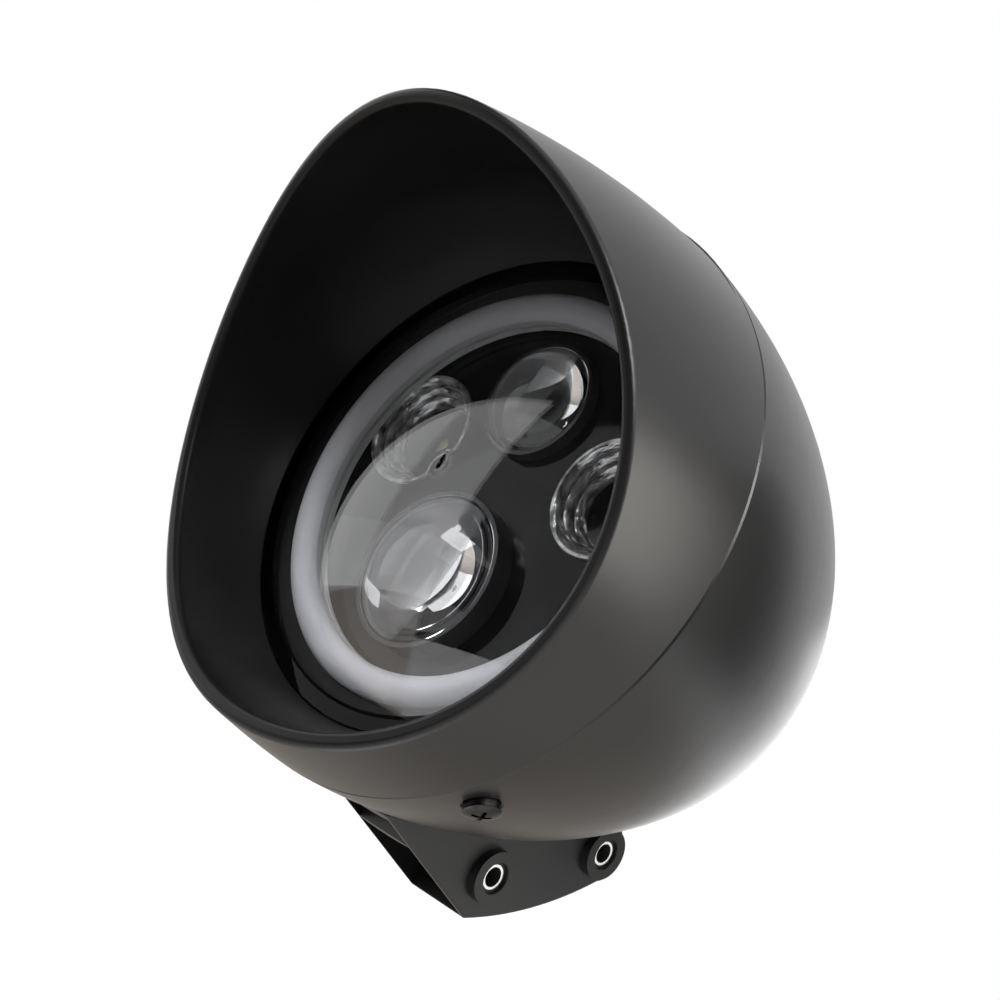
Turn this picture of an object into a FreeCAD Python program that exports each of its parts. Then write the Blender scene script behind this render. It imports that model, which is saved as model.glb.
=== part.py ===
import FreeCAD, Part
import math
import os

os.makedirs("parts", exist_ok=True)

# Units are mm. The lens looks along -Y, Z is up. Everything is drawn about the lamp's axis with
# the seam between visor and bucket at y = 0, and moved at export so that the origin lies midway
# between the two mount bolts.

# Bucket and visor
bucket_length = 139.2
bucket_fullness = 1.16
shell_wall = 2.4
visor_wall = 4.0
visor_taper = 0.072
visor_curl = 0.00183
funnel_length = 32.0
lip_round = 1.6
seam_chamfer = 0.5
register_length = 16.0
register_wall = 3.4
register_gap = 1.9
register_clearance = 0.3

# Mouth of the visor: depth forward of the seam at six heights
mouth_low_height = -92.0
mouth_low_depth = 29.9
mouth_chin_height = -74.0
mouth_chin_depth = 25.3
mouth_cheek_height = -40.0
mouth_cheek_depth = 26.1
mouth_middle_depth = 35.8
mouth_brow_height = 45.0
mouth_brow_depth = 57.6
mouth_peak_height = 88.0
mouth_peak_depth = 98.0

# Raised hook pad on the top of the visor's rear rim
pad_height = 0.5
pad_length = 3.0
pad_half_angle = 30.0
pad_bevel = 0.3

# Lamp flange, lens and gasket
lens_clearance = 0.5
lens_rim_radius = 70.0
lens_rim_width = 4.0
lens_dome_height = 13.0
lens_wall = 2.5
lens_rim_depth = 5.0
gasket_thickness = 1.0
gasket_width = 3.4
flange_lap = 2.5
flange_thickness = 4.0
flange_clearance = 0.3
seat_wall = 5.0

# Halo
halo_margin = 5.0
halo_width = 8.5
halo_crown = 1.4
halo_depth = 5.0
halo_bevel = 3.0
halo_led_count = 24
halo_led_length = 2.8
halo_led_width = 1.4
halo_led_height = 0.8
board_thickness = 1.6
stack_gap = 0.2

# Lamp housing
housing_wall = 2.6
housing_shoulder_depth = 12.0
housing_floor_depth = 24.0
housing_floor_thickness = 4.0
housing_taper = 5.1
ledge_width = 3.0
mask_ledge_width = 1.4
fin_count = 9
fin_thickness = 2.4
fin_pitch = 9.5
fin_depth = 28.0
fin_inset = 5.0

# Mask and optics
mask_thickness = 2.0
mask_clearance = 0.2
lower_lens_height = -24.0
lower_lens_radius = 21.2
lower_lens_dome = 9.0
lower_holder_wall = 1.4
lower_holder_front = 3.5
upper_lens_height = 30.5
upper_lens_radius = 15.8
upper_lens_dome = 7.5
upper_holder_wall = 1.2
upper_holder_front = 6.5
lens_edge = 3.0
lens_shoulder = 2.0
crystal_angle = 18.4
crystal_margin = 0.6
crystal_outer_radius = 17.2
crystal_inner_radius = 11.6
crystal_rim = 0.8
crystal_front = 9.3
crystal_bowl = 8.5
crystal_depth = 9.8
crystal_step_count = 3
crystal_step_height = 0.6
cup_flange = 1.5
cup_wall = 1.6
cup_dish = 1.0
cup_eye_radius = 3.0
emitter_size = 6.0
emitter_height = 1.0

# Clamping ring behind the lamp flange, and its screws
ring_thickness = 1.5
ring_lap = 7.4
ring_screw_count = 3
ring_screw_radius = 1.5
ring_screw_head_radius = 2.8
ring_screw_head_height = 2.2
ring_screw_length = 8.0

# Screws of the LED board
board_screw_radius = 1.5
board_screw_angle = 28.8
board_screw_margin = 3.5
board_screw_middle = 6.2
board_screw_length = 3.6

# Bezel screws, from the bucket into the visor's register
bezel_screw_angle = 36.0
bezel_screw_depth = 11.0
bezel_screw_radius = 2.5
bezel_screw_head_radius = 5.0
bezel_screw_head_height = 3.7
bezel_screw_seat = 0.5

# Mount bracket
mount_spacing = 45.0
mount_slope = 29.0
mount_depth = 93.6
mount_drop = 12.7
mount_hole_radius = 3.0
sleeve_wall = 0.75
sleeve_recess = 1.2
boss_radius = 8.0
boss_rise = 2.6
counterbore_radius = 4.8
bracket_half_width = 12.0
bracket_wall = 3.5
bracket_lip = 1.2
bracket_toe_depth = 26.0
bracket_pad = 7.0
bracket_gap = 0.2
apex_drop = 13.9
belly_sag = 2.8
tail_reach = 11.5
tail_low_reach = 10.3
tail_low_angle = 52.0
bracket_edge_round = 0.8

# Bolts between bucket and bracket, and the grommet in the bucket floor
front_fix_lead = 27.9
rear_fix_lead = 5.3
bracket_bolt_radius = 3.0
bracket_bolt_across = 10.0
bracket_bolt_head = 4.0
bracket_bolt_reach = 6.0
washer_radius = 6.2
washer_thickness = 1.6
washer_lift = 0.4
grommet_lead = 3.6
grommet_neck_radius = 6.0
grommet_flange_radius = 7.6
grommet_flange = 2.0
grommet_bore_radius = 3.5
grommet_pad_clearance = 0.8

# Cable gland at the back of the lamp housing
gland_across = 16.0
gland_hex_length = 5.0
gland_body_radius = 6.4
gland_body_length = 9.0
gland_bore_radius = 3.0

hole_clearance = 0.3
thread_clearance = 0.08
pan_round_share = 0.45

# Values worked out from the sizes above
opening_radius = lens_rim_radius + lens_clearance
flange_radius = opening_radius + flange_lap
flange_front = lens_rim_depth + gasket_thickness
flange_back = flange_front + flange_thickness
seat_radius = flange_radius + flange_clearance
seat_outer_radius = seat_radius + seat_wall
ring_screw_circle = (seat_radius + seat_outer_radius) / 2
ring_outer_radius = seat_outer_radius + register_gap / 2
register_bore = seat_outer_radius + register_gap
register_radius = register_bore + register_wall
seam_radius = register_radius + register_clearance + shell_wall
lens_dome_radius = lens_rim_radius - lens_rim_width
halo_outer_radius = lens_dome_radius - halo_margin
halo_back = halo_crown + halo_depth
halo_middle_radius = halo_outer_radius - halo_width / 2
halo_led_front = halo_back + stack_gap
halo_board_front = halo_led_front + halo_led_height
halo_board_back = halo_board_front + board_thickness
halo_bore_radius = halo_outer_radius + lens_clearance
ledge_radius = halo_bore_radius - ledge_width
mask_ledge_radius = ledge_radius - mask_ledge_width
mask_radius = ledge_radius - mask_clearance
mask_front = housing_shoulder_depth - mask_thickness
crystal_distance = mask_ledge_radius - crystal_margin - crystal_outer_radius
housing_back_radius = mask_ledge_radius - housing_taper
fin_radius = housing_back_radius - fin_inset
led_board_front = housing_floor_depth - board_thickness
led_board_radius = housing_back_radius - housing_wall - hole_clearance
slope = math.radians(mount_slope)
front_bolt_depth = mount_depth - mount_spacing / 2 * math.cos(slope)
rear_bolt_depth = mount_depth + mount_spacing / 2 * math.cos(slope)
bracket_bolt_depths = (front_bolt_depth - front_fix_lead, rear_bolt_depth - rear_fix_lead)
grommet_depth = mount_depth - grommet_lead
sleeve_radius = mount_hole_radius + sleeve_wall
boss_face = bracket_half_width + boss_rise

axis_y = FreeCAD.Vector(0, 1, 0)
origin = FreeCAD.Vector(0, 0, 0)


# Shape helpers

def at(radius, depth):
    return FreeCAD.Vector(0, depth, radius)


# Face in the YZ plane from (radius, depth) points: a pair draws a line, a tuple of two pairs an
# arc through the first, and a list a smooth curve.
def section(start, *steps):
    edges = []
    here = at(*start)
    for step in steps:
        if isinstance(step, list):
            points = [here] + [at(*pair) for pair in step]
            curve = Part.BSplineCurve()
            curve.interpolate(points)
        elif isinstance(step[0], tuple):
            points = [here, at(*step[0]), at(*step[1])]
            curve = Part.Arc(*points)
        else:
            points = [here, at(*step)]
            curve = Part.LineSegment(*points)
        edges.append(curve.toShape())
        here = points[-1]
    if not here.isEqual(at(*start), 1e-6):
        edges.append(Part.LineSegment(here, at(*start)).toShape())
    return Part.Face(Part.Wire(edges))


def turned(start, *steps):
    return section(start, *steps).revolve(origin, axis_y, 360)


def ring(inner, outer, front, back):
    return turned((inner, front), (outer, front), (outer, back), (inner, back))


def rod(radius, length, point, direction):
    return Part.makeCylinder(radius, length, point, direction)


def hexagon(across, height):
    corner = across / math.sqrt(3)
    turns = [math.radians(60 * k) for k in range(7)]
    points = [FreeCAD.Vector(corner * math.cos(a), corner * math.sin(a), 0) for a in turns]
    return Part.Face(Part.makePolygon(points)).extrude(FreeCAD.Vector(0, 0, height))


# Moves a shape drawn along +Z so that it stands on a point and looks in a direction.
def stand(shape, point, direction):
    turn = FreeCAD.Rotation(FreeCAD.Vector(0, 0, 1), direction)
    placed = shape.copy()
    placed.Placement = FreeCAD.Placement(point, turn)
    return placed


def flipped(shape):
    return shape.mirror(origin, FreeCAD.Vector(1, 0, 0))


# Pan-head screw along +Z: the underside of the head lies at zero and the shank hangs below it.
def pan_screw(radius, length, head_radius, head_height):
    head = Part.makeCylinder(head_radius, head_height)
    head = head.makeFillet(head_height * pan_round_share, [head.Edges[0]])
    shank = rod(radius, length, origin, FreeCAD.Vector(0, 0, -1))
    return head.fuse(shank).removeSplitter()


# Forms of the two castings

def visor_radius(ahead):
    return seam_radius - visor_taper * ahead - visor_curl * ahead ** 2


def funnel_radius(ahead):
    wall_line = visor_radius(ahead) - visor_wall
    if ahead >= funnel_length:
        return wall_line
    inset = seam_radius - visor_wall - opening_radius
    return wall_line - inset * (1 - ahead / funnel_length) ** 2


def bullet_point(grow, angle):
    radius = (seam_radius + grow) * math.cos(angle) ** bucket_fullness
    return radius, (bucket_length + grow) * math.sin(angle)


def bullet(grow):
    span_count = 10
    angles = [math.pi / 2 * k / span_count for k in range(1, span_count)]
    curve = [bullet_point(grow, a) for a in angles] + [(0, bucket_length + grow)]
    return turned((0, 0), (seam_radius + grow, 0), curve)


def bucket_radius(depth):
    return seam_radius * (1 - (depth / bucket_length) ** 2) ** (bucket_fullness / 2)


# Heights of the mount bolts, which hang under the bucket
mount_height = -bucket_radius(mount_depth) - mount_drop
front_bolt_height = mount_height - mount_spacing / 2 * math.sin(slope)
rear_bolt_height = mount_height + mount_spacing / 2 * math.sin(slope)


# Point on the underside of the bucket, and the direction straight out of it there.
def floor_point(depth):
    return FreeCAD.Vector(0, depth, -bucket_radius(depth))


def floor_normal(depth):
    step = 0.1
    fall = (bucket_radius(depth - step) - bucket_radius(depth + step)) / (2 * step)
    return FreeCAD.Vector(0, fall, -1).normalize()


def bezel_screw_direction():
    angle = math.radians(bezel_screw_angle)
    return FreeCAD.Vector(math.sin(angle), 0, -math.cos(angle))


def bezel_screw_point():
    seat = bucket_radius(bezel_screw_depth) - bezel_screw_seat
    return bezel_screw_direction() * seat + FreeCAD.Vector(0, bezel_screw_depth, 0)


# Both sides' holes or spot faces for the bezel screws, reaching from one radius to another.
def bezel_screw_holes(radius, inner, outer):
    direction = bezel_screw_direction()
    start = direction * inner + FreeCAD.Vector(0, bezel_screw_depth, 0)
    hole = rod(radius, outer - inner, start, direction)
    return hole.fuse(flipped(hole))


def ring_screw_points(depth):
    points = []
    for k in range(ring_screw_count):
        angle = math.radians(90 + 360 * (k + 0.5) / ring_screw_count)
        across = ring_screw_circle * math.cos(angle)
        points.append(FreeCAD.Vector(across, depth, ring_screw_circle * math.sin(angle)))
    return points


# Visor

def mouth_cutter():
    reach = mouth_peak_depth + visor_wall
    curve = [(mouth_chin_height, -mouth_chin_depth), (mouth_cheek_height, -mouth_cheek_depth),
             (0, -mouth_middle_depth), (mouth_brow_height, -mouth_brow_depth),
             (mouth_peak_height, -mouth_peak_depth)]
    face = section((mouth_low_height, -mouth_low_depth), curve,
                   (mouth_peak_height, -2 * reach), (mouth_low_height, -2 * reach))
    width = 2 * seam_radius
    face.translate(FreeCAD.Vector(-width, 0, 0))
    return face.extrude(FreeCAD.Vector(2 * width, 0, 0))


def visor_body():
    reach = mouth_peak_depth + visor_wall
    span_count = 8
    stops = [reach * k / span_count for k in range(1, span_count + 1)]
    outside = [(visor_radius(s), -s) for s in stops]
    inside = [(funnel_radius(s), -s) for s in reversed(stops[:-1])] + [(opening_radius, 0)]
    return turned((opening_radius, 0), (seam_radius - seam_chamfer, 0),
                  (visor_radius(seam_chamfer), -seam_chamfer), outside,
                  (funnel_radius(reach), -reach), inside)


def visor_hood():
    hood = visor_body().cut(mouth_cutter())
    lips = [f for f in hood.Faces if isinstance(f.Surface, Part.SurfaceOfExtrusion)]
    edges = [edge for face in lips for edge in face.Edges]
    return hood.makeFillet(lip_round, edges)


# Disc with a smaller radius and a raised centre, so that its rim stands proud of the visor at the
# top and dies into it at both ends.
def hook_pad():
    spread = seam_radius * (1 - math.cos(math.radians(pad_half_angle)))
    lift = pad_height * (seam_radius + pad_height / 2) / (spread + pad_height)
    radius = seam_radius + pad_height - lift
    front = -seam_chamfer - pad_length
    disc = turned((0, front), (radius - pad_bevel, front), (radius, front + pad_bevel),
                  (radius, -seam_chamfer), (0, -seam_chamfer))
    disc.translate(FreeCAD.Vector(0, 0, lift))
    return disc.cut(ring(0, seam_radius - visor_wall / 2, front, -seam_chamfer))


def visor_bezel():
    seat = ring(opening_radius, seat_outer_radius, 0, flange_front)
    seat_rim = ring(seat_radius, seat_outer_radius, flange_front, flange_back)
    register = ring(register_bore, register_radius, 0, register_length)
    groove = ring(seat_outer_radius, register_bore, -visor_wall, 0)
    tapped = ring_screw_radius + thread_clearance
    body = visor_hood().fuse([hook_pad(), seat, seat_rim, register]).cut(groove)
    for point in ring_screw_points(flange_back):
        depth = ring_screw_length - ring_thickness + hole_clearance
        body = body.cut(rod(tapped, depth, point, -axis_y))
    bolt = bezel_screw_radius + thread_clearance
    body = body.cut(bezel_screw_holes(bolt, seat_outer_radius, seam_radius))
    return body.removeSplitter()


# Bucket and its screws

def bucket_shell():
    rebate = ring(0, seam_radius - shell_wall, 0, register_length + register_clearance)
    bevel = turned((seam_radius - seam_chamfer, 0), (seam_radius + seam_chamfer, 0),
                   (seam_radius + seam_chamfer, 2 * seam_chamfer))
    shell = bullet(0).cut([bullet(-shell_wall), rebate, bevel])
    passage = bezel_screw_radius + hole_clearance
    spot = bezel_screw_head_radius + hole_clearance
    seat = bucket_radius(bezel_screw_depth) - bezel_screw_seat
    shell = shell.cut(bezel_screw_holes(passage, register_radius, seam_radius))
    shell = shell.cut(bezel_screw_holes(spot, seat, seam_radius + bezel_screw_seat))
    for depth in bracket_bolt_depths:
        shell = shell.cut(floor_hole(depth, bracket_bolt_radius + hole_clearance))
    return shell.cut(floor_hole(grommet_depth, grommet_neck_radius + hole_clearance / 2))


# Rod through the bucket's floor, from inside the shell to below the bracket's pad.
def floor_hole(depth, radius):
    normal = floor_normal(depth)
    start = floor_point(depth) - normal * 3 * shell_wall
    return rod(radius, 3 * shell_wall + bracket_pad + bracket_gap, start, normal)


def bezel_screws():
    seat = bucket_radius(bezel_screw_depth) - bezel_screw_seat
    length = seat - register_bore
    screw = pan_screw(bezel_screw_radius, length, bezel_screw_head_radius,
                      bezel_screw_head_height)
    screw = stand(screw, bezel_screw_point(), bezel_screw_direction())
    return Part.makeCompound([screw, flipped(screw)])


# Mount bracket

def bracket_side_points():
    apex = FreeCAD.Vector(0, front_bolt_depth, front_bolt_height - apex_drop)
    bolt = FreeCAD.Vector(0, rear_bolt_depth, rear_bolt_height)
    low = math.radians(tail_low_angle)
    tail_low = bolt + FreeCAD.Vector(0, math.cos(low), -math.sin(low)) * tail_low_reach
    belly = (apex + tail_low) * 0.5 + FreeCAD.Vector(0, math.sin(slope), -math.cos(slope)) * belly_sag
    heel = bolt + FreeCAD.Vector(0, math.cos(slope / 2), -math.sin(slope / 2)) * tail_reach
    tail = bolt + FreeCAD.Vector(0, math.cos(slope / 2), math.sin(slope / 2)) * tail_reach
    return apex, belly, tail_low, heel, tail


def bracket_outline():
    apex, belly, tail_low, heel, tail = bracket_side_points()
    toe = FreeCAD.Vector(0, bracket_toe_depth, -bucket_radius(bracket_toe_depth))
    top = tail + FreeCAD.Vector(0, -1.5 * tail_reach, 1.5 * tail_reach)
    inside = FreeCAD.Vector(0, bracket_toe_depth, top.z)
    return Part.Wire([Part.LineSegment(toe, apex).toShape(),
                      Part.Arc(apex, belly, tail_low).toShape(),
                      Part.Arc(tail_low, heel, tail).toShape(),
                      Part.LineSegment(tail, top).toShape(),
                      Part.LineSegment(top, inside).toShape(),
                      Part.LineSegment(inside, toe).toShape()])


# Plate across X from an outline in the YZ plane.
def across_plate(wire, half_width):
    face = Part.Face(wire)
    face.translate(FreeCAD.Vector(-half_width, 0, 0))
    return face.extrude(FreeCAD.Vector(2 * half_width, 0, 0))


# Open front of the bracket: thin lips at the sides and under the bucket, up to the pad of the front bolt.
def bracket_mouth():
    half_width = bracket_half_width - bracket_lip
    apex = bracket_side_points()[0]
    toe = FreeCAD.Vector(0, bracket_toe_depth, -bucket_radius(bracket_toe_depth))
    run = (apex - toe).normalize()
    out = FreeCAD.Vector(0, run.z, -run.y)
    last = apex - run * bracket_lip
    inward = out * -2 * bracket_wall
    corners = [toe + out, last + out, last + inward, toe + inward]
    mouth = across_plate(Part.makePolygon(corners + corners[:1]), half_width)
    pad_start = bracket_bolt_depths[0] - washer_radius
    room = Part.makeBox(2 * half_width, pad_start, seam_radius + apex_drop,
                        FreeCAD.Vector(-half_width, 0, apex.z - apex_drop))
    front = mouth.common(room).cut(bullet(bracket_gap + bracket_lip))
    return mouth.cut(bullet(bracket_gap + bracket_pad)).fuse(front)


# Hollow of the bracket: the outline inset by the wall, joined to the open front.
def bracket_hollow():
    half_width = bracket_half_width - bracket_wall
    inset = across_plate(bracket_outline().makeOffset2D(-bracket_wall), half_width)
    return inset.cut(bullet(bracket_gap + bracket_pad)).fuse(bracket_mouth())


def mount_points():
    return [FreeCAD.Vector(0, front_bolt_depth, front_bolt_height),
            FreeCAD.Vector(0, rear_bolt_depth, rear_bolt_height)]


# Rod along X through a mount point, centred on the bracket.
def cross_rod(radius, half_length, point):
    start = point - FreeCAD.Vector(half_length, 0, 0)
    return rod(radius, 2 * half_length, start, FreeCAD.Vector(1, 0, 0))


def mount_bracket():
    plate = across_plate(bracket_outline(), bracket_half_width)
    rims = [e for e in plate.Edges if abs(e.BoundBox.XMin) == abs(e.BoundBox.XMax)]
    body = plate.makeFillet(bracket_edge_round, rims)
    body = body.cut(bracket_hollow())
    for point in mount_points():
        body = body.fuse(cross_rod(boss_radius, boss_face, point))
    body = body.cut(bullet(bracket_gap))
    for point in mount_points():
        body = body.cut(cross_rod(sleeve_radius + thread_clearance, boss_face, point))
        for side in (-1, 1):
            start = point + FreeCAD.Vector(side * (boss_face - sleeve_recess), 0, 0)
            direction = FreeCAD.Vector(side, 0, 0)
            body = body.cut(rod(counterbore_radius, sleeve_recess, start, direction))
    for depth in bracket_bolt_depths:
        body = body.cut(floor_hole(depth, bracket_bolt_radius + thread_clearance))
    outer = grommet_flange_radius + grommet_pad_clearance
    return body.cut(floor_hole(grommet_depth, outer)).removeSplitter()


def mount_sleeves():
    half_length = boss_face - sleeve_recess
    sleeves = []
    for point in mount_points():
        bore = cross_rod(mount_hole_radius, half_length, point)
        sleeves.append(cross_rod(sleeve_radius, half_length, point).cut(bore))
    return Part.makeCompound(sleeves)


def bracket_bolts():
    head_seat = -(shell_wall + washer_lift + washer_thickness)
    head = hexagon(bracket_bolt_across, bracket_bolt_head)
    head.translate(FreeCAD.Vector(0, 0, head_seat - bracket_bolt_head))
    shank = rod(bracket_bolt_radius, bracket_bolt_reach - head_seat,
                FreeCAD.Vector(0, 0, head_seat), FreeCAD.Vector(0, 0, 1))
    bolt = head.fuse(shank).removeSplitter()
    return Part.makeCompound([stand(bolt, floor_point(d), floor_normal(d))
                              for d in bracket_bolt_depths])


def bracket_washers():
    low = FreeCAD.Vector(0, 0, -(shell_wall + washer_lift + washer_thickness))
    washer = Part.makeCylinder(washer_radius, washer_thickness, low)
    hole = Part.makeCylinder(bracket_bolt_radius + hole_clearance, washer_thickness, low)
    washer = washer.cut(hole)
    return Part.makeCompound([stand(washer, floor_point(d), floor_normal(d))
                              for d in bracket_bolt_depths])


def wire_grommet():
    up = FreeCAD.Vector(0, 0, 1)
    inside = -(shell_wall + washer_lift + grommet_flange)
    neck = rod(grommet_neck_radius, grommet_flange - inside, FreeCAD.Vector(0, 0, inside), up)
    inner = rod(grommet_flange_radius, grommet_flange, FreeCAD.Vector(0, 0, inside), up)
    outer = rod(grommet_flange_radius, grommet_flange, FreeCAD.Vector(0, 0, washer_lift), up)
    bore = rod(grommet_bore_radius, 4 * (shell_wall + grommet_flange),
               FreeCAD.Vector(0, 0, 2 * inside), up)
    body = neck.fuse([inner, outer]).cut(bore).removeSplitter()
    return stand(body, floor_point(grommet_depth), floor_normal(grommet_depth))


# Lamp unit

# Depth of a dome at a radius, for a dome of the given rim radius and height behind its crown.
def dome_drop(radius, rim_radius, height):
    curve = (rim_radius ** 2 + height ** 2) / (2 * height)
    return curve - math.sqrt(curve ** 2 - radius ** 2)


def outer_lens():
    half = lens_dome_radius / 2
    crown = -lens_dome_height
    ball = (lens_dome_radius ** 2 + lens_dome_height ** 2) / (2 * lens_dome_height) - lens_wall
    inner_crown = crown + lens_wall

    def inner_depth(radius):
        return inner_crown + ball - math.sqrt(ball ** 2 - radius ** 2)

    outside = ((half, crown + dome_drop(half, lens_dome_radius, lens_dome_height)),
               (lens_dome_radius, 0))
    inside = ((half, inner_depth(half)), (0, inner_crown))
    return turned((0, crown), outside, (lens_rim_radius, 0), (lens_rim_radius, lens_rim_depth),
                  (lens_dome_radius, lens_rim_depth),
                  (lens_dome_radius, inner_depth(lens_dome_radius)), inside)


def lens_gasket():
    return ring(lens_rim_radius - gasket_width, lens_rim_radius, lens_rim_depth, flange_front)


def halo_light_guide():
    inner = halo_outer_radius - halo_width
    shoulder = halo_crown + halo_bevel
    return turned((inner, halo_back), (inner, shoulder),
                  ((halo_middle_radius, halo_crown), (halo_outer_radius, shoulder)),
                  (halo_outer_radius, halo_back))


def halo_leds():
    leds = []
    for k in range(halo_led_count):
        led = Part.makeBox(halo_led_length, halo_led_height, halo_led_width)
        led.translate(FreeCAD.Vector(-halo_led_length / 2, halo_led_front,
                                     halo_middle_radius - halo_led_width / 2))
        led.rotate(origin, axis_y, 360 * k / halo_led_count)
        leds.append(led)
    return Part.makeCompound(leds)


def halo_led_board():
    return ring(halo_outer_radius - halo_width, halo_outer_radius, halo_board_front,
                halo_board_back)


def lamp_housing():
    floor_back = housing_floor_depth + housing_floor_thickness
    inner_back = housing_back_radius - housing_wall
    cup = turned((0, housing_floor_depth), (inner_back, housing_floor_depth),
                 (mask_ledge_radius, housing_floor_depth - ledge_width),
                 (mask_ledge_radius, housing_shoulder_depth),
                 (ledge_radius, housing_shoulder_depth),
                 (ledge_radius, halo_board_back), (halo_bore_radius, halo_board_back),
                 (halo_bore_radius, flange_front), (flange_radius, flange_front),
                 (flange_radius, flange_back), (halo_bore_radius + housing_wall, flange_back),
                 (ledge_radius + housing_wall, housing_shoulder_depth + housing_wall),
                 (housing_back_radius, floor_back), (0, floor_back))
    fins = []
    for k in range(fin_count):
        across = (k - (fin_count - 1) / 2) * fin_pitch
        fin = Part.makeBox(fin_thickness, fin_depth, 2 * fin_radius)
        fin.translate(FreeCAD.Vector(across - fin_thickness / 2, floor_back, -fin_radius))
        fins.append(fin)
    round_off = ring(0, fin_radius, floor_back, floor_back + fin_depth)
    gland_room = ring(0, gland_across, floor_back, floor_back + fin_depth)
    comb = Part.makeCompound(fins).common(round_off).cut(gland_room)
    body = cup.fuse(comb)
    for point in board_screw_points(housing_floor_depth):
        tapped = rod(board_screw_radius + thread_clearance, board_screw_length, point, axis_y)
        body = body.cut(tapped)
    passage = rod(gland_bore_radius, housing_floor_thickness, at(0, housing_floor_depth), axis_y)
    return body.cut(passage).removeSplitter()


def lamp_cable_gland():
    back = housing_floor_depth + housing_floor_thickness
    hexed = stand(hexagon(gland_across, gland_hex_length), at(0, back), axis_y)
    body = rod(gland_body_radius, gland_body_length, at(0, back + gland_hex_length), axis_y)
    bore = rod(gland_bore_radius, gland_hex_length + gland_body_length, at(0, back), axis_y)
    return hexed.fuse(body).cut(bore).removeSplitter()


# Optics behind the lens

def crystal_centre(side, depth):
    angle = math.radians(crystal_angle)
    across = side * crystal_distance * math.cos(angle)
    return FreeCAD.Vector(across, depth, crystal_distance * math.sin(angle))


def inner_mask():
    plate = ring(0, mask_radius, mask_front, housing_shoulder_depth)
    holes = [rod(lower_lens_radius + lower_holder_wall + mask_clearance, mask_thickness,
                 at(lower_lens_height, mask_front), axis_y),
             rod(upper_lens_radius + upper_holder_wall + mask_clearance, mask_thickness,
                 at(upper_lens_height, mask_front), axis_y)]
    for side in (-1, 1):
        holes.append(rod(crystal_outer_radius + mask_clearance, mask_thickness,
                         crystal_centre(side, mask_front), axis_y))
    return plate.cut(holes)


def lens_holder(height, lens_radius, wall, front):
    bore = lens_radius + mask_clearance
    throat = lens_radius - lens_shoulder
    shoulder = front + lens_edge
    body = turned((bore, front), (lens_radius + wall, front),
                  (lens_radius + wall, led_board_front), (throat, led_board_front),
                  (throat, shoulder), (bore, shoulder))
    body.translate(FreeCAD.Vector(0, 0, height))
    return body


def projector_lens(height, radius, dome, front):
    half = radius / 2
    crown = front - dome
    lens = turned((0, crown), ((half, crown + dome_drop(half, radius, dome)), (radius, front)),
                  (radius, front + lens_edge), (0, front + lens_edge))
    lens.translate(FreeCAD.Vector(0, 0, height))
    return lens


# Clear bowl-shaped ring, with rounded ribs that step down from its rim to the cup.
def crystal_ring(side):
    back = crystal_front + crystal_depth
    floor = crystal_front + crystal_bowl
    width = (crystal_outer_radius - crystal_rim - crystal_inner_radius) / crystal_step_count
    rise = crystal_bowl / crystal_step_count
    lean = crystal_step_height / math.hypot(width, rise)
    ribs = []
    for k in range(crystal_step_count):
        radius = crystal_inner_radius + k * width
        depth = floor - k * rise
        crest = (radius + width / 2 - lean * rise, depth - rise / 2 - lean * width)
        ribs.append((crest, (radius + width, depth - rise)))
    body = turned((crystal_inner_radius, back), (crystal_inner_radius, floor), *ribs,
                  (crystal_outer_radius, crystal_front), (crystal_outer_radius, back))
    body.translate(crystal_centre(side, 0))
    return body


# Dished dark centre of a crystal ring, with an eye for its emitter and a flange behind the ring.
def ring_cup(side):
    front = crystal_front + crystal_bowl
    back = crystal_front + crystal_depth
    tube = crystal_inner_radius - hole_clearance
    body = turned((cup_eye_radius, front + cup_dish), (tube, front),
                  (tube, back), (crystal_outer_radius, back),
                  (crystal_outer_radius, back + cup_flange), (tube, back + cup_flange),
                  (tube, led_board_front), (tube - cup_wall, led_board_front),
                  (tube - cup_wall, front + cup_wall),
                  (cup_eye_radius, front + cup_dish + cup_wall))
    body.translate(crystal_centre(side, 0))
    return body


def board_screw_points(depth):
    angle = math.radians(board_screw_angle)
    reach = led_board_radius - board_screw_margin
    drop = reach * math.sin(angle)
    return [FreeCAD.Vector(reach * math.cos(angle), depth, -drop),
            FreeCAD.Vector(-reach * math.cos(angle), depth, -drop),
            FreeCAD.Vector(0, depth, board_screw_middle)]


def led_board():
    board = ring(0, led_board_radius, led_board_front, housing_floor_depth)
    reach = board_screw_radius + hole_clearance
    passage = rod(gland_bore_radius, board_thickness, at(0, led_board_front), axis_y)
    holes = [rod(reach, board_thickness, point, axis_y)
             for point in board_screw_points(led_board_front)]
    return board.cut(holes + [passage])


def board_screws():
    screw = pan_screw(board_screw_radius, board_thickness + board_screw_length - hole_clearance,
                      ring_screw_head_radius, ring_screw_head_height)
    return Part.makeCompound([stand(screw, point, -axis_y)
                              for point in board_screw_points(led_board_front)])


def led_emitters():
    places = [at(lower_lens_height, led_board_front), at(upper_lens_height, led_board_front),
              crystal_centre(-1, led_board_front), crystal_centre(1, led_board_front)]
    emitters = []
    for place in places:
        emitter = Part.makeBox(emitter_size, emitter_height, emitter_size)
        corner = FreeCAD.Vector(emitter_size / 2, emitter_height, emitter_size / 2)
        emitter.translate(place - corner)
        emitters.append(emitter)
    return Part.makeCompound(emitters)


# Clamping ring

def lamp_retaining_ring():
    body = ring(flange_radius - ring_lap, ring_outer_radius, flange_back,
                flange_back + ring_thickness)
    for point in ring_screw_points(flange_back):
        body = body.cut(rod(ring_screw_radius + hole_clearance, ring_thickness, point, axis_y))
    return body


def retaining_ring_screws():
    screw = pan_screw(ring_screw_radius, ring_screw_length, ring_screw_head_radius,
                      ring_screw_head_height)
    return Part.makeCompound([stand(screw, point, axis_y)
                              for point in ring_screw_points(flange_back + ring_thickness)])


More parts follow.
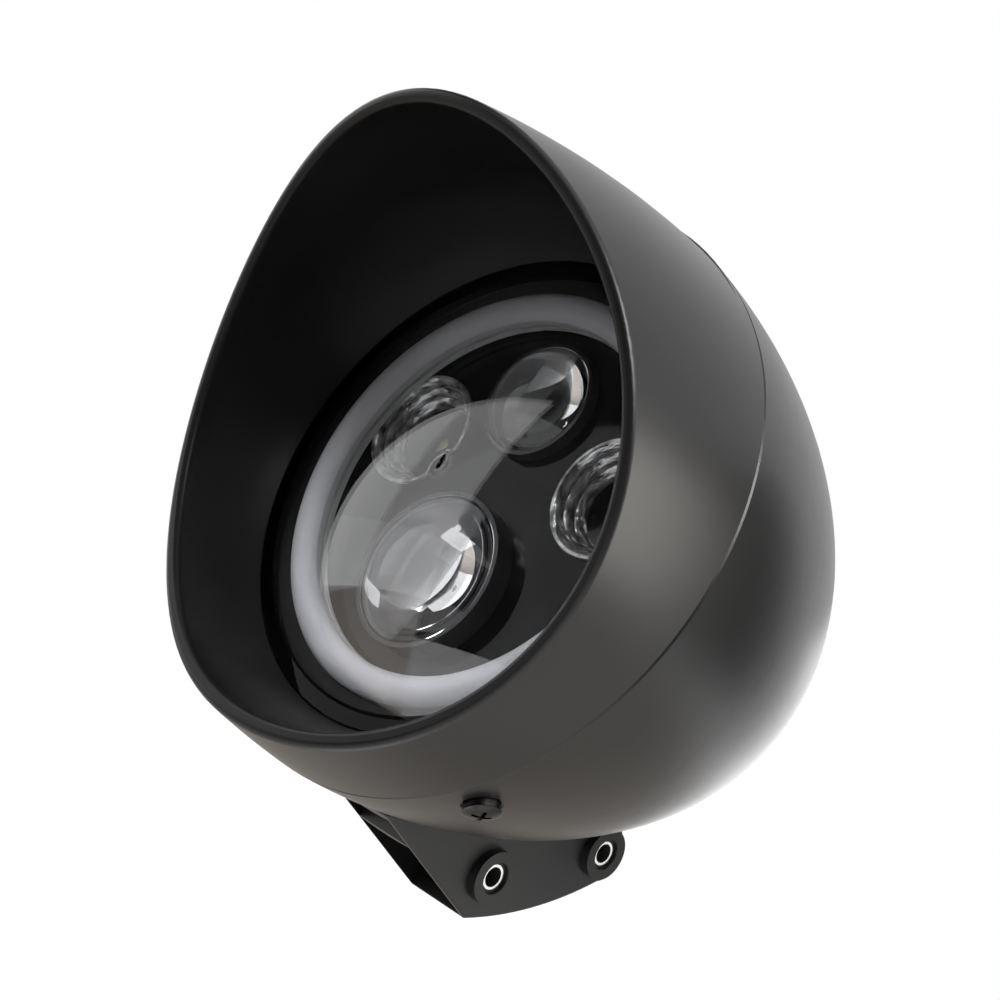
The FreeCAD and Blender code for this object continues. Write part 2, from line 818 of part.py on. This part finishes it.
nodes = {
    "visor_bezel": visor_bezel(),
    "bucket_shell": bucket_shell(),
    "bezel_screws": bezel_screws(),
    "mount_bracket": mount_bracket(),
    "mount_sleeves": mount_sleeves(),
    "bracket_bolts": bracket_bolts(),
    "bracket_washers": bracket_washers(),
    "wire_grommet": wire_grommet(),
    "outer_lens": outer_lens(),
    "lens_gasket": lens_gasket(),
    "halo_light_guide": halo_light_guide(),
    "halo_leds": halo_leds(),
    "halo_led_board": halo_led_board(),
    "lamp_housing": lamp_housing(),
    "lamp_cable_gland": lamp_cable_gland(),
    "inner_mask": inner_mask(),
    "lower_lens_holder": lens_holder(lower_lens_height, lower_lens_radius, lower_holder_wall,
                                     lower_holder_front),
    "upper_lens_holder": lens_holder(upper_lens_height, upper_lens_radius, upper_holder_wall,
                                     upper_holder_front),
    "lower_projector_lens": projector_lens(lower_lens_height, lower_lens_radius, lower_lens_dome,
                                           lower_holder_front),
    "upper_projector_lens": projector_lens(upper_lens_height, upper_lens_radius, upper_lens_dome,
                                           upper_holder_front),
    "left_crystal_ring": crystal_ring(1),
    "right_crystal_ring": crystal_ring(-1),
    "left_ring_cup": ring_cup(1),
    "right_ring_cup": ring_cup(-1),
    "led_board": led_board(),
    "board_screws": board_screws(),
    "led_emitters": led_emitters(),
    "lamp_retaining_ring": lamp_retaining_ring(),
    "retaining_ring_screws": retaining_ring_screws(),
}

for name, shape in nodes.items():
    shape.translate(FreeCAD.Vector(0, -mount_depth, -mount_height))
    shape.exportStep("parts/" + name + ".step")
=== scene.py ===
import math

import bmesh
import bpy
from mathutils import Matrix, Vector


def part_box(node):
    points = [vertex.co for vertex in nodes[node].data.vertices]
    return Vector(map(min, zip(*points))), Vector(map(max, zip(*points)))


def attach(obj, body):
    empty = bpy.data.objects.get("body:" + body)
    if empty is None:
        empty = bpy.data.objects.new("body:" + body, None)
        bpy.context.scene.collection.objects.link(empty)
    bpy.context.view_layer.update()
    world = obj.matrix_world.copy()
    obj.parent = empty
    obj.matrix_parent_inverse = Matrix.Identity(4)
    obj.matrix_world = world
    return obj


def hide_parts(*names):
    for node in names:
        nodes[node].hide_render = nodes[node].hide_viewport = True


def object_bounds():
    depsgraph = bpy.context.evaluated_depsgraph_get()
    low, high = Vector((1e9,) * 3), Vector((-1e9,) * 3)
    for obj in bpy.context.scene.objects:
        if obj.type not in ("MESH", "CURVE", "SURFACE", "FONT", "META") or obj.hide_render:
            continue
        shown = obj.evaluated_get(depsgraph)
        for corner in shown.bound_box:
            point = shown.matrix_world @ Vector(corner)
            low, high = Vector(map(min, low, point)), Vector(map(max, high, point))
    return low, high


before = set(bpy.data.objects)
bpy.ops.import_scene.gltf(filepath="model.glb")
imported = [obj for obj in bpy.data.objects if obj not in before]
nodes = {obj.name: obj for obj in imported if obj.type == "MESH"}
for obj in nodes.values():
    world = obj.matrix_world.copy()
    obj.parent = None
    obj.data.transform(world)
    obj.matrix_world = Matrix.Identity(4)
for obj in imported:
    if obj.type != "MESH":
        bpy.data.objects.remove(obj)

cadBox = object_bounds()
mm = 0.001
print("frame loaded,", len(nodes), "nodes")

# The seam's centre in the row frame: the bucket's front edge on the lamp's axis
shellLow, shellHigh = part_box("bucket_shell")
seam = Vector((0, shellLow.y, (shellLow.z + shellHigh.z) / 2))


# Material helpers

noiseReach = (0.3, 0.7)  # where most of a noise's values lie


def freshMaterial(name):
    material = bpy.data.materials.new(name)
    material.use_nodes = True
    tree = material.node_tree
    shader = tree.nodes["Principled BSDF"]
    return material, tree, shader


def wired(tree, kind, operation, values):  # each value is a socket to link or a number to set
    node = tree.nodes.new(kind)
    node.operation = operation
    for socket, value in zip(node.inputs, values):
        if isinstance(value, bpy.types.NodeSocket):
            tree.links.new(value, socket)
        else:
            socket.default_value = value
    return node


def mathOf(tree, operation, *values):
    return wired(tree, "ShaderNodeMath", operation, values).outputs[0]


def vectorOf(tree, operation, *values):
    node = wired(tree, "ShaderNodeVectorMath", operation, values)
    return node.outputs["Value" if operation in ("LENGTH", "DOT_PRODUCT") else "Vector"]


def coordsOf(tree, kind="Object"):
    return tree.nodes.new("ShaderNodeTexCoord").outputs[kind]


def noiseAt(tree, scale, detail=3.0):
    noise = tree.nodes.new("ShaderNodeTexNoise")
    noise.inputs["Scale"].default_value = scale
    noise.inputs["Detail"].default_value = detail
    tree.links.new(coordsOf(tree), noise.inputs["Vector"])
    return noise.outputs["Fac"]


def ranged(tree, value, source, target):
    ranger = tree.nodes.new("ShaderNodeMapRange")
    ranger.inputs["From Min"].default_value, ranger.inputs["From Max"].default_value = source
    ranger.inputs["To Min"].default_value, ranger.inputs["To Max"].default_value = target
    tree.links.new(value, ranger.inputs["Value"])
    return ranger.outputs["Result"]


def tintBetween(tree, value, first, second, reach=(0.0, 1.0), interpolation="LINEAR"):
    ramp = tree.nodes.new("ShaderNodeValToRGB")
    ramp.color_ramp.interpolation = interpolation
    for element, position, tint in zip(ramp.color_ramp.elements, reach, (first, second)):
        element.position = position
        element.color = (*tint, 1)
    tree.links.new(value, ramp.inputs["Fac"])
    return ramp.outputs["Color"]


def colourBy(tree, shader, value, first, second):
    tint = tintBetween(tree, value, first, second, noiseReach)
    tree.links.new(tint, shader.inputs["Base Color"])


def roughenBy(tree, shader, value, roughness):
    tree.links.new(ranged(tree, value, noiseReach, roughness), shader.inputs["Roughness"])


def bumpFrom(tree, shader, value, strength, distance):
    bump = tree.nodes.new("ShaderNodeBump")
    bump.inputs["Strength"].default_value = strength
    bump.inputs["Distance"].default_value = distance
    tree.links.new(value, bump.inputs["Height"])
    tree.links.new(bump.outputs["Normal"], shader.inputs["Normal"])


def middleOf(name):
    low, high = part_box(name)
    return (low + high) / 2


def fromAxis(tree, centre, across=(1, 0, 1)):  # the vector from an axis along Y through a point
    return vectorOf(tree, "MULTIPLY", vectorOf(tree, "SUBTRACT", coordsOf(tree), centre), across)


# 1 on faces turned away from that axis, -1 on faces turned towards it
def turnedOut(tree, centre, across=(1, 0, 1)):
    outward = vectorOf(tree, "NORMALIZE", fromAxis(tree, centre, across))
    return vectorOf(tree, "DOT_PRODUCT", coordsOf(tree, "Normal"), outward)


def roundMask(tree, name, share):  # 1 outside a share of the node's radius about its axis along Y
    low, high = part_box(name)
    reach = vectorOf(tree, "LENGTH", fromAxis(tree, middleOf(name)))
    return mathOf(tree, "GREATER_THAN", reach, (high.x - low.x) / 2 * share)


def dress(name, material):
    piece = nodes[name]
    piece.data.materials.clear()
    piece.data.materials.append(material)


# Finishes

satinCoat = {"dark": (0.0035, 0.0035, 0.0036), "light": (0.006, 0.006, 0.0061),
             "roughness": (0.31, 0.37), "drift": 14.0, "grain": 2600.0, "grainDetail": 2.0,
             "bump": 0.05, "bumpDepth": 0.0002}


def satinBlack(name, finish):
    material, tree, shader = freshMaterial(name)
    drift = noiseAt(tree, finish["drift"])
    grain = noiseAt(tree, finish["grain"], finish["grainDetail"])
    colourBy(tree, shader, drift, finish["dark"], finish["light"])
    roughenBy(tree, shader, drift, finish["roughness"])
    bumpFrom(tree, shader, grain, finish["bump"], finish["bumpDepth"])
    return material


# Painted shade: reflections dimmed on faces inside the hood and inside the bracket's hollow
visorInsideShade = {"reflectionShade": (0.15, 0.15, 0.15), "edge": (0.2, 0.9), "across": (1, 0, 1)}
bracketInsideShade = {"reflectionShade": (0.1, 0.1, 0.1), "edge": (-0.6, -0.1), "across": (1, 0, 0)}


def paintedShadeInside(material, finish):  # painted shade: faces turned towards the middle reflect less
    tree = material.node_tree
    shader = tree.nodes["Principled BSDF"]
    turned = ranged(tree, turnedOut(tree, seam, finish["across"]), finish["edge"], (0.0, 1.0))
    reflectionShade = tintBetween(tree, turned, finish["reflectionShade"], (1, 1, 1))
    tree.links.new(reflectionShade, shader.inputs["Specular Tint"])
    return material


glossPlastic = {"dark": (0.004, 0.004, 0.004), "light": (0.009, 0.009, 0.009),
                "roughness": (0.05, 0.12), "drift": 40.0, "gloss": 0.25}


def glossBlack(name, finish):
    material, tree, shader = freshMaterial(name)
    drift = noiseAt(tree, finish["drift"])
    colourBy(tree, shader, drift, finish["dark"], finish["light"])
    roughenBy(tree, shader, drift, finish["roughness"])
    shader.inputs["Specular IOR Level"].default_value = finish["gloss"]
    return material


# Two-tone parts of the optics: one colour inside a share of the piece's radius and one outside it.
# Walls turned towards the axis by more than wallTurn keep the inner colour at any radius
lensBarrel = {"share": 0.935, "inner": (0.9, 0.9, 0.92), "outer": (0.05, 0.05, 0.052),
              "roughness": (0.06, 0.14), "drift": 90.0, "metalOutside": False, "wallTurn": -0.5}
ringCup = {"share": 0.66, "inner": (0.006, 0.006, 0.006), "outer": (0.9, 0.9, 0.92),
           "roughness": (0.06, 0.14), "drift": 90.0, "metalOutside": True, "wallTurn": None}


def twoTone(name, node, finish):
    material, tree, shader = freshMaterial(name)
    mask = roundMask(tree, node, finish["share"])
    if finish["wallTurn"] is not None:
        facing = turnedOut(tree, middleOf(node))
        offWall = mathOf(tree, "GREATER_THAN", facing, finish["wallTurn"])
        mask = mathOf(tree, "MULTIPLY", mask, offWall)
    tint = tintBetween(tree, mask, finish["inner"], finish["outer"], (0.0, 0.5), "CONSTANT")
    tree.links.new(tint, shader.inputs["Base Color"])
    if finish["metalOutside"]:
        tree.links.new(mask, shader.inputs["Metallic"])
    roughenBy(tree, shader, noiseAt(tree, finish["drift"]), finish["roughness"])
    return material


clearMoulding = {"ior": 1.58, "roughness": (0.0, 0.015), "drift": 30.0, "tint": (0.97, 0.975, 0.98)}


def clearPlastic(name, finish):
    material, tree, shader = freshMaterial(name)
    shader.inputs["Base Color"].default_value = (*finish["tint"], 1)
    shader.inputs["Transmission Weight"].default_value = 1.0
    shader.inputs["IOR"].default_value = finish["ior"]
    roughenBy(tree, shader, noiseAt(tree, finish["drift"]), finish["roughness"])
    return material


# Blackened border of the outer lens, with its reflection dimmed as painted shade
lensRim = {"share": 0.93, "tint": (0.03, 0.03, 0.03), "reflectionShade": (0.1, 0.1, 0.1)}


def darkRim(material, node, rim):
    tree = material.node_tree
    shader = tree.nodes["Principled BSDF"]
    mask = roundMask(tree, node, rim["share"])
    # the dark base colour blackens the border; the dimmed specular tint is painted shade
    for name, shade in (("Base Color", rim["tint"]), ("Specular Tint", rim["reflectionShade"])):
        socket = shader.inputs[name]
        tree.links.new(tintBetween(tree, mask, socket.default_value[:3], shade), socket)
    return material


milkyGuide = {"dark": (0.84, 0.84, 0.88), "light": (0.9, 0.9, 0.94), "roughness": (0.3, 0.4),
              "drift": 60.0, "bleed": 0.3, "bleedReach": 0.004}


def milkyPlastic(name, finish):
    material, tree, shader = freshMaterial(name)
    drift = noiseAt(tree, finish["drift"])
    colourBy(tree, shader, drift, finish["dark"], finish["light"])
    roughenBy(tree, shader, drift, finish["roughness"])
    shader.inputs["Subsurface Weight"].default_value = finish["bleed"]
    shader.inputs["Subsurface Radius"].default_value = (finish["bleedReach"],) * 3
    shader.inputs["Subsurface Scale"].default_value = 1.0
    return material


# Painted glints: streaks of near white and near black stand in for the clear crystal's glints and
# dark gaps
crystalGlints = {"dark": (0.02, 0.02, 0.022), "light": (0.97, 0.97, 0.97), "roughness": (0.05, 0.2),
              "metallic": 0.5, "runs": 2.6, "ribs": 700.0, "detail": 3.0,
              "bump": 1.0, "bumpDepth": 0.001}


def paintedGlintCrystal(name, node, finish):  # painted glints: light and dark streaks that run round the ring's axis stand in for the clear crystal's glints
    material, tree, shader = freshMaterial(name)
    axes = tree.nodes.new("ShaderNodeSeparateXYZ")
    tree.links.new(vectorOf(tree, "SUBTRACT", coordsOf(tree), middleOf(node)), axes.inputs[0])
    angle = mathOf(tree, "ARCTAN2", axes.outputs["X"], axes.outputs["Z"])
    along = tree.nodes.new("ShaderNodeCombineXYZ")
    tree.links.new(mathOf(tree, "MULTIPLY", angle, finish["runs"]), along.inputs["X"])
    tree.links.new(mathOf(tree, "MULTIPLY", axes.outputs["Y"], finish["ribs"]), along.inputs["Y"])
    glintStreaks = tree.nodes.new("ShaderNodeTexNoise")
    glintStreaks.inputs["Scale"].default_value = 1.0
    glintStreaks.inputs["Detail"].default_value = finish["detail"]
    tree.links.new(along.outputs[0], glintStreaks.inputs["Vector"])
    value = glintStreaks.outputs["Fac"]
    shader.inputs["Metallic"].default_value = finish["metallic"]
    colourBy(tree, shader, value, finish["dark"], finish["light"])
    roughenBy(tree, shader, value, finish["roughness"])
    bumpFrom(tree, shader, value, finish["bump"], finish["bumpDepth"])
    return material


# Painted shade: the sleeve's bore and outside are darker than its bright end faces
sleeveSteel = {"bore": (0.035, 0.042, 0.038), "face": (0.9, 0.91, 0.9), "roughness": (0.3, 0.45),
               "drift": 300.0, "detail": 4.0, "metallic": 0.5}


def shadedBoreSleeve(name, finish):  # bright end faces across X; the bore and outside are painted dark as shade
    material, tree, shader = freshMaterial(name)
    axes = tree.nodes.new("ShaderNodeSeparateXYZ")
    tree.links.new(coordsOf(tree, "Normal"), axes.inputs[0])
    facing = mathOf(tree, "ABSOLUTE", axes.outputs["X"])
    colourBy(tree, shader, facing, finish["bore"], finish["face"])
    roughenBy(tree, shader, noiseAt(tree, finish["drift"], finish["detail"]), finish["roughness"])
    shader.inputs["Metallic"].default_value = finish["metallic"]
    return material


metalGrain = {"metallic": 1.0, "drift": 300.0, "detail": 4.0, "bump": 0.06, "bumpDepth": 0.0001}
dullGrain = {"metallic": 0.0, "drift": 400.0, "detail": 4.0, "bump": 0.08, "bumpDepth": 0.0002}
zincPlate = {"dark": (0.5, 0.5, 0.48), "light": (0.66, 0.66, 0.63), "roughness": (0.3, 0.45)}
blackZinc = {"dark": (0.025, 0.025, 0.025), "light": (0.06, 0.06, 0.06), "roughness": (0.25, 0.4)}
rubberBlack = {"dark": (0.008, 0.008, 0.008), "light": (0.02, 0.02, 0.02), "roughness": (0.5, 0.7)}
castBlack = {"dark": (0.02, 0.02, 0.02), "light": (0.035, 0.035, 0.035), "roughness": (0.5, 0.65)}
haloMask = {"dark": (0.78, 0.79, 0.77), "light": (0.86, 0.87, 0.85), "roughness": (0.4, 0.5)}
boardMask = {"dark": (0.75, 0.76, 0.75), "light": (0.85, 0.86, 0.85), "roughness": (0.4, 0.5)}
phosphor = {"dark": (0.8, 0.74, 0.5), "light": (0.86, 0.82, 0.62), "roughness": (0.4, 0.5)}


def grainedFinish(name, finish, grain):
    material, tree, shader = freshMaterial(name)
    drift = noiseAt(tree, grain["drift"], grain["detail"])
    shader.inputs["Metallic"].default_value = grain["metallic"]
    colourBy(tree, shader, drift, finish["dark"], finish["light"])
    roughenBy(tree, shader, drift, finish["roughness"])
    bumpFrom(tree, shader, drift, grain["bump"], grain["bumpDepth"])
    return material


# Painted shade inside the hood
dress("visor_bezel", paintedShadeInside(satinBlack("visorCoat", satinCoat), visorInsideShade))
dress("bucket_shell", satinBlack("bucketCoat", satinCoat))
# Painted shade inside the bracket's hollow
dress("mount_bracket", paintedShadeInside(satinBlack("bracketCoat", satinCoat), bracketInsideShade))
# Painted shade in the sleeves' bores
dress("mount_sleeves", shadedBoreSleeve("sleeveShadedBore", sleeveSteel))
# Painted shade: dimmed reflection on the outer lens's border
dress("outer_lens", darkRim(clearPlastic("lensMoulding", clearMoulding), "outer_lens", lensRim))
dress("lower_projector_lens", clearPlastic("lowerLensGlass", clearMoulding))
dress("upper_projector_lens", clearPlastic("upperLensGlass", clearMoulding))
# Painted glints on the crystal rings
dress("left_crystal_ring", paintedGlintCrystal("leftCrystalGlints", "left_crystal_ring", crystalGlints))
dress("right_crystal_ring", paintedGlintCrystal("rightCrystalGlints", "right_crystal_ring", crystalGlints))
dress("halo_light_guide", milkyPlastic("haloGuide", milkyGuide))
dress("inner_mask", glossBlack("maskGloss", glossPlastic))
dress("lower_lens_holder", twoTone("lowerBarrel", "lower_lens_holder", lensBarrel))
dress("upper_lens_holder", twoTone("upperBarrel", "upper_lens_holder", lensBarrel))
dress("left_ring_cup", twoTone("leftCup", "left_ring_cup", ringCup))
dress("right_ring_cup", twoTone("rightCup", "right_ring_cup", ringCup))
for name in ("lamp_cable_gland", "lens_gasket", "wire_grommet"):
    dress(name, grainedFinish(name + "_dull", rubberBlack, dullGrain))
for name in ("bracket_bolts", "bracket_washers", "board_screws", "lamp_retaining_ring",
             "retaining_ring_screws"):
    dress(name, grainedFinish(name + "_zinc", zincPlate, metalGrain))
dress("lamp_housing", grainedFinish("housingCast", castBlack, dullGrain))
dress("halo_led_board", grainedFinish("haloBoard", haloMask, dullGrain))
dress("led_board", grainedFinish("ledBoard", boardMask, dullGrain))
dress("halo_leds", grainedFinish("haloPhosphor", phosphor, dullGrain))
dress("led_emitters", grainedFinish("emitterPhosphor", phosphor, dullGrain))
print("materials done")


# Bezel screws with their cross recess, standing for the plain CAD screws, in mm and degrees

bezelScrews = {"turn": 36.0, "depth": 11.0, "seat": 85.49, "spin": 34.4,
               "headRadius": 5.0, "headHeight": 3.7, "domeHeight": 1.1, "domeSteps": 12,
               "neckShare": 0.95, "rimRound": 0.1, "shankRadius": 2.5, "shankLength": 5.2,
               "crossWidth": 1.15, "crossReach": 2.9, "crossDepth": 1.9, "crossOver": 0.5,
               "floorReach": 0.45, "floorWidth": 0.8, "topReach": 1.15,
               "segments": 64, "sharpAngle": 35.0}


def headProfile():  # (radius, height) from the shank's end to the crown
    radius, height = bezelScrews["headRadius"], bezelScrews["headHeight"]
    shank, end = bezelScrews["shankRadius"], -bezelScrews["shankLength"]
    dome, steps = bezelScrews["domeHeight"], bezelScrews["domeSteps"]
    neck, edge = radius * bezelScrews["neckShare"], bezelScrews["rimRound"]
    rim = height - dome
    points = [(0, end), (shank, end), (shank, 0), (neck, 0), (neck, rim - 4 * edge),
              (radius - edge, rim - 2.5 * edge), (radius, rim - edge), (radius - edge, rim)]
    for k in range(1, steps):
        share = 1 - k / steps
        points.append(((radius - edge) * share, rim + dome * (1 - share ** 2)))
    return points + [(0, height)]


def spunMesh(points, segments):
    mesh = bmesh.new()
    turns = [2 * math.pi * k / segments for k in range(segments)]
    rings = []
    for radius, height in points:
        spots = [Vector((radius * math.cos(t), radius * math.sin(t), height)) * mm for t in turns]
        rings.append([mesh.verts.new(spot) for spot in (spots if radius else spots[:1])])
    for low, high in zip(rings, rings[1:]):
        for k in range(segments):
            here, after = k, k + 1
            corners = [low[here % len(low)], low[after % len(low)],
                       high[after % len(high)], high[here % len(high)]]
            mesh.faces.new(dict.fromkeys(corners))  # a ring of one point gives triangles
    bmesh.ops.recalc_face_normals(mesh, faces=mesh.faces)
    return mesh


def crossCutter():
    mesh = bmesh.new()
    wide, reach, deep = (bezelScrews[k] * mm for k in ("crossWidth", "crossReach", "crossDepth"))
    crown = bezelScrews["headHeight"] * mm
    levels = ((crown - deep, bezelScrews["floorReach"], bezelScrews["floorWidth"]),
              (crown + bezelScrews["crossOver"] * mm, bezelScrews["topReach"], 1.0))
    for turned in (False, True):
        corners = []
        for height, reachShare, widthShare in levels:
            for sx, sy in ((-1, -1), (1, -1), (1, 1), (-1, 1)):
                x, y = sx * reach * reachShare, sy * wide / 2 * widthShare
                corners.append(mesh.verts.new((y, x, height) if turned else (x, y, height)))
        low, high = corners[:4], corners[4:]
        mesh.faces.new(low)
        mesh.faces.new(high)
        for k in range(4):
            mesh.faces.new((low[k], low[(k + 1) % 4], high[(k + 1) % 4], high[k]))
    bmesh.ops.recalc_face_normals(mesh, faces=mesh.faces)
    return mesh


def objectFrom(mesh, name):
    data = bpy.data.meshes.new(name)
    mesh.to_mesh(data)
    mesh.free()
    made = bpy.data.objects.new(name, data)
    bpy.context.scene.collection.objects.link(made)
    return made


def cutScrew():
    head = objectFrom(spunMesh(headProfile(), bezelScrews["segments"]), "screwBlank")
    cutter = objectFrom(crossCutter(), "crossCutter")
    recess = head.modifiers.new("recess", "BOOLEAN")
    recess.object = cutter
    recess.operation = "DIFFERENCE"
    recess.solver = "EXACT"
    recess.use_self = True
    bpy.context.view_layer.update()
    finished = head.evaluated_get(bpy.context.evaluated_depsgraph_get())
    cut = bpy.data.meshes.new_from_object(finished)
    bpy.data.objects.remove(cutter)
    bpy.data.objects.remove(head)
    return cut


def makeBezelScrews():
    cut = cutScrew()
    both = bmesh.new()
    turn = math.radians(bezelScrews["turn"])
    spin = Matrix.Rotation(math.radians(bezelScrews["spin"]), 4, "Z")
    for side in (1, -1):
        out = Vector((side * math.sin(turn), 0, -math.cos(turn)))
        spot = seam + (out * bezelScrews["seat"] + Vector((0, bezelScrews["depth"], 0))) * mm
        aim = out.to_track_quat("Z", "Y").to_matrix().to_4x4()
        one = cut.copy()
        one.transform(Matrix.Translation(spot) @ aim @ spin)
        both.from_mesh(one)
        bpy.data.meshes.remove(one)
    piece = objectFrom(both, "bezelScrewHeads")
    for face in piece.data.polygons:
        face.use_smooth = True
    piece.data.set_sharp_from_angle(angle=math.radians(bezelScrews["sharpAngle"]))
    piece.data.materials.append(grainedFinish("blackScrew", blackZinc, metalGrain))
    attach(piece, "root")
    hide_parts("bezel_screws")


makeBezelScrews()
print("screws done")


# Floor, light and camera

def seenDirectly(tree):  # 1 for camera, mirror and see-through rays
    paths = tree.nodes.new("ShaderNodeLightPath").outputs
    mirrored = mathOf(tree, "MAXIMUM", paths["Is Camera Ray"], paths["Is Glossy Ray"])
    return mathOf(tree, "MAXIMUM", mirrored, paths["Is Transmission Ray"])


paleFloor = {"drop": 0.42, "size": 30.0, "paint": (0.85, 0.85, 0.85),
             "roughness": 0.9, "glow": 0.45}


def makeFloor():
    height = cadBox[0][2] - paleFloor["drop"]
    bpy.ops.mesh.primitive_plane_add(size=paleFloor["size"], location=(0, 0, height))
    floor = bpy.context.object
    floor.name = "paleFloor"
    material, tree, shader = freshMaterial("paleFloorPaint")
    shader.inputs["Base Color"].default_value = (*paleFloor["paint"], 1)
    shader.inputs["Roughness"].default_value = paleFloor["roughness"]
    glow = tree.nodes.new("ShaderNodeEmission")
    level = mathOf(tree, "MULTIPLY", seenDirectly(tree), paleFloor["glow"])
    tree.links.new(level, glow.inputs["Strength"])
    both = tree.nodes.new("ShaderNodeAddShader")
    tree.links.new(shader.outputs[0], both.inputs[0])
    tree.links.new(glow.outputs[0], both.inputs[1])
    tree.links.new(both.outputs[0], tree.nodes["Material Output"].inputs["Surface"])
    floor.data.materials.append(material)


softRoom = {"level": 0.75, "white": 1.0}  # strength for diffuse light, and where seen directly


def makeWorld():
    world = bpy.data.worlds.new("softRoom")
    bpy.context.scene.world = world
    world.use_nodes = True
    tree = world.node_tree
    room = tree.nodes["Background"]
    room.inputs["Color"].default_value = (1, 1, 1, 1)
    strength = ranged(tree, seenDirectly(tree), (0.0, 1.0), (softRoom["level"], softRoom["white"]))
    tree.links.new(strength, room.inputs["Strength"])


# Cloths round the set, swept about the lamp: turns run from the lens towards its left, and each
# rail is a radius and a height in metres
blackCloth = (0.01, 0.01, 0.01)
flags = {"front": {"turn": (-34, 84), "paint": blackCloth,
                   "rails": ((1.1, -0.4), (1.1, 0.25), (1.0, 0.6))},
         "frontFloor": {"turn": (-34, 84), "paint": (0.58, 0.58, 0.58),
                        "rails": ((0.12, -0.4), (1.1, -0.4))},
         "upper": {"turn": (-95, -34), "paint": blackCloth,
                   "rails": ((1.1, 0.75), (1.0, 1.3), (0.6, 1.7))},
         "behind": {"turn": (124, 165), "paint": blackCloth,
                    "rails": ((1.3, -0.09), (1.3, 0.9))},
         "rightFloor": {"turn": (84, 145), "paint": (0.56, 0.53, 0.5),
                        "rails": ((0.12, -0.4), (1.5, -0.4))},
         "backFloor": {"turn": (145, 326), "paint": (0.4, 0.37, 0.34),
                       "rails": ((0.12, -0.4), (1.8, -0.4))}}
flagColumns = 24


def makeFlag(name, flag):
    mesh = bmesh.new()
    first, last = flag["turn"]
    steps = [k / flagColumns for k in range(flagColumns + 1)]
    turns = [math.radians(first + (last - first) * step) for step in steps]
    rows = []
    for reach, height in flag["rails"]:
        spots = [Vector((reach * math.sin(t), -reach * math.cos(t), height)) for t in turns]
        rows.append([mesh.verts.new(seam + spot) for spot in spots])
    for low, high in zip(rows, rows[1:]):
        for k in range(flagColumns):
            mesh.faces.new((low[k], low[k + 1], high[k + 1], high[k]))
    card = objectFrom(mesh, name)
    material, tree, shader = freshMaterial(name + "Cloth")
    shader.inputs["Base Color"].default_value = (*flag["paint"], 1)
    shader.inputs["Roughness"].default_value = 1.0
    shader.inputs["Specular IOR Level"].default_value = 0.0
    card.data.materials.append(material)
    card.visible_camera = False
    card.visible_diffuse = False
    card.visible_shadow = False


# Soft boxes: turn from the lens towards its left, rise and reach in metres, power in watts
softBoxes = {"rightBox": {"turn": 110, "rise": 0.25, "reach": 1.2, "size": (0.6, 0.75),
                          "watts": 7.2, "tint": (1, 0.96, 0.9), "shine": True},
             "leftBox": {"turn": -78, "rise": 0.25, "reach": 1.5, "size": (1.4, 1.4),
                         "watts": 3.0, "tint": (0.97, 0.98, 1), "shine": True},
             "rimBox": {"turn": -150, "rise": 0.1, "reach": 1.6, "size": (1.5, 0.62),
                        "watts": 6.0, "tint": (1, 1, 1), "shine": True},
             "nearBox": {"turn": 60, "rise": 0.6, "reach": 0.9, "size": (0.4, 0.4),
                         "watts": 8.0, "tint": (1, 1, 1), "shine": True},
             "keyBox": {"turn": -10, "rise": 0.8, "reach": 0.8, "size": (0.6, 0.6),
                        "watts": 21.0, "tint": (0.98, 0.98, 1), "shine": False}}


def makeSoftBox(name, box):
    data = bpy.data.lights.new(name, "AREA")
    data.shape = "RECTANGLE"
    data.size, data.size_y = box["size"]
    data.energy = box["watts"]
    data.color = box["tint"]
    lamp = bpy.data.objects.new(name, data)
    turn = math.radians(box["turn"])
    out = Vector((math.sin(turn), -math.cos(turn), 0))
    lamp.location = seam + out * box["reach"] + Vector((0, 0, box["rise"]))
    lamp.rotation_euler = (lamp.location - seam).to_track_quat("Z", "Y").to_euler()
    lamp.visible_camera = False
    lamp.visible_glossy = box["shine"]
    bpy.context.scene.collection.objects.link(lamp)


# The camera's place in mm from the seam's centre, with its picture's right and up
viewpoint = {"place": (322.2, -305.9, -72.5), "right": (0.6635, 0.5504, 0.5068),
             "up": (-0.2618, -0.4638, 0.8464), "lens": 61.56, "sensor": 36.0, "clipStart": 0.01}


def makeCamera():
    data = bpy.data.cameras.new("photoCamera")
    data.sensor_width = viewpoint["sensor"]
    data.lens = viewpoint["lens"]
    data.clip_start = viewpoint["clipStart"]
    camera = bpy.data.objects.new("photoCamera", data)
    bpy.context.scene.collection.objects.link(camera)
    right = Vector(viewpoint["right"]).normalized()
    up = Vector(viewpoint["up"])
    up = (up - right * up.dot(right)).normalized()
    back = right.cross(up)
    turn = Matrix((right, up, back)).transposed().to_4x4()
    camera.matrix_world = Matrix.Translation(seam + Vector(viewpoint["place"]) * mm) @ turn
    bpy.context.scene.camera = camera


makeFloor()
makeWorld()
for name, flag in flags.items():
    makeFlag(name + "Flag", flag)
for name, box in softBoxes.items():
    makeSoftBox(name, box)
makeCamera()
bpy.context.scene.view_settings.view_transform = "Standard"
print("stage done")
